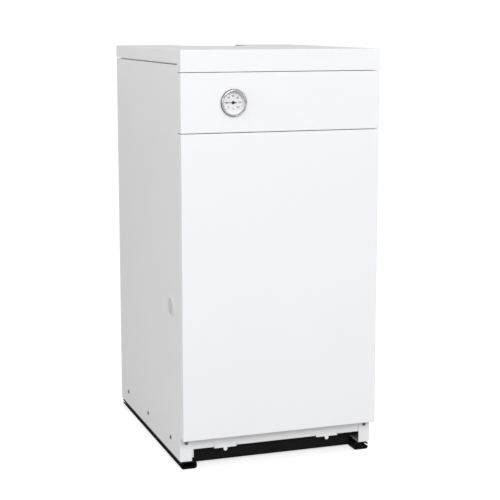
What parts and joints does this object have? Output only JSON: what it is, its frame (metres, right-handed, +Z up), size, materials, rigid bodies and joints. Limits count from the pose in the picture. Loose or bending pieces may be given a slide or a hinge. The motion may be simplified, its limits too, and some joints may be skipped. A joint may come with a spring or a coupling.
{
  "type": "floor-standing gas boiler",
  "caption": "White sheet-steel floor boiler with a fascia thermometer, lift-off notched lid and hinged front door hiding a gas burner unit, valve and water shell.",
  "frame": {"origin": "on the floor, under the middle of the whole object's box", "axes": "+Z up, -Y out of the front door, +X to the right when facing the front"},
  "size_m": [0.424, 0.572, 0.85],
  "materials": {
    "white_paint": "smooth satin powder coat",
    "black_paint": "semi-gloss enamel",
    "galvanised_sheet": "zinc coated, faint spangle",
    "boiler_steel": "mill scale, dull",
    "foil_insulation": "foil-faced mineral wool",
    "stainless_steel": "brushed",
    "zinc_screw": "zinc plated",
    "brass": "machined",
    "copper": "drawn copper tube",
    "ceramic_white": "unglazed",
    "valve_casting": "die cast, matt",
    "grey_plastic": "satin moulding",
    "red_plastic": "satin moulding",
    "black_plastic": "matt moulding",
    "dial_face": "printed, numbers only",
    "bezel_chrome": "polished",
    "gauge_glass": "clear"
  },
  "bodies": {
    "root": {"front_fascia": "white_paint", "left_side_panel": "white_paint", "right_side_panel": "white_paint", "front_lower_rail": "white_paint", "side_hole_plug": "white_paint", "skid_left": "black_paint", "skid_right": "black_paint", "front_crossmember": "black_paint", "rear_crossmember": "black_paint", "cradle_left": "black_paint", "cradle_right": "black_paint", "rear_panel": "galvanised_sheet", "base_heat_shield": "galvanised_sheet", "flue_hood": "galvanised_sheet", "flue_collar": "galvanised_sheet", "burner_plate": "galvanised_sheet", "hinge_bracket_upper": "galvanised_sheet", "hinge_bracket_lower": "galvanised_sheet", "boiler_body": "boiler_steel", "flow_stub": "boiler_steel", "return_stub": "boiler_steel", "gas_manifold": "boiler_steel", "gas_pipe": "boiler_steel", "insulation_jacket": "foil_insulation", "burner_bar_1": "stainless_steel", "burner_bar_2": "stainless_steel", "burner_bar_3": "stainless_steel", "flue_baffle_1": "stainless_steel", "flue_baffle_2": "stainless_steel", "flue_baffle_3": "stainless_steel", "side_screw_left": "zinc_screw", "side_screw_right": "zinc_screw", "sensor_pocket": "brass", "drain_cock_body": "brass", "gas_injector_1": "brass", "gas_injector_2": "brass", "gas_injector_3": "brass", "gas_inlet_union": "brass", "thermometer_capillary": "copper", "pilot_burner": "copper", "thermocouple": "copper", "ignition_electrode": "ceramic_white", "gas_valve": "valve_casting", "piezo_igniter": "black_plastic", "door_magnet": "black_plastic", "thermometer_case": "black_plastic", "thermometer_dial": "dial_face", "thermometer_bezel": "bezel_chrome", "thermometer_glass": "gauge_glass"},
    "top_cover": {"top_cover": "white_paint"},
    "front_door": {"front_door": "white_paint", "hinge_eye_upper": "galvanised_sheet", "hinge_eye_lower": "galvanised_sheet"},
    "drain_lever": {"drain_cock_lever": "red_plastic"},
    "thermostat_knob": {"thermostat_knob": "grey_plastic"},
    "pilot_button": {"pilot_button": "grey_plastic"},
    "off_button": {"off_button": "red_plastic"},
    "piezo_button": {"piezo_button": "red_plastic"},
    "sight_flap": {"sight_flap": "stainless_steel"},
    "gauge_needle": {"thermometer_needle": "black_plastic"}
  },
  "joints": [
    {"name": "lid_lift", "type": "slide", "parent": "root", "child": "top_cover", "axis": [0, 0, 1], "range_m": [0, 0.25]},
    {"name": "door_hinge", "type": "hinge", "parent": "root", "child": "front_door", "pos_m": [0.205, -0.263, 0.3765], "axis": [0, 0, 1], "range_deg": [0, 110]},
    {"name": "drain_lever_turn", "type": "hinge", "parent": "root", "child": "drain_lever", "pos_m": [-0.134, -0.134, 0.144], "axis": [0, 0, 1], "range_deg": [0, 90]},
    {"name": "knob_turn", "type": "hinge", "parent": "root", "child": "thermostat_knob", "pos_m": [-0.03, -0.231, 0.336], "axis": [0, -1, 0], "range_deg": [0, 270]},
    {"name": "pilot_press", "type": "slide", "parent": "root", "child": "pilot_button", "axis": [0, 1, 0], "range_m": [0, 0.005], "stiffness_N_per_m": 400},
    {"name": "off_press", "type": "slide", "parent": "root", "child": "off_button", "axis": [0, 1, 0], "range_m": [0, 0.005], "stiffness_N_per_m": 400},
    {"name": "piezo_press", "type": "slide", "parent": "root", "child": "piezo_button", "axis": [0, 1, 0], "range_m": [0, 0.008], "stiffness_N_per_m": 600},
    {"name": "flap_swing", "type": "hinge", "parent": "root", "child": "sight_flap", "pos_m": [0.07, -0.1114, 0.293], "axis": [0, 1, 0], "range_deg": [0, 100]},
    {"name": "needle_turn", "type": "hinge", "parent": "root", "child": "gauge_needle", "pos_m": [-0.102, -0.279, 0.7465], "axis": [0, 1, 0], "range_deg": [-45, 225], "stiffness_Nm_per_rad": 0.0002}
  ]
}
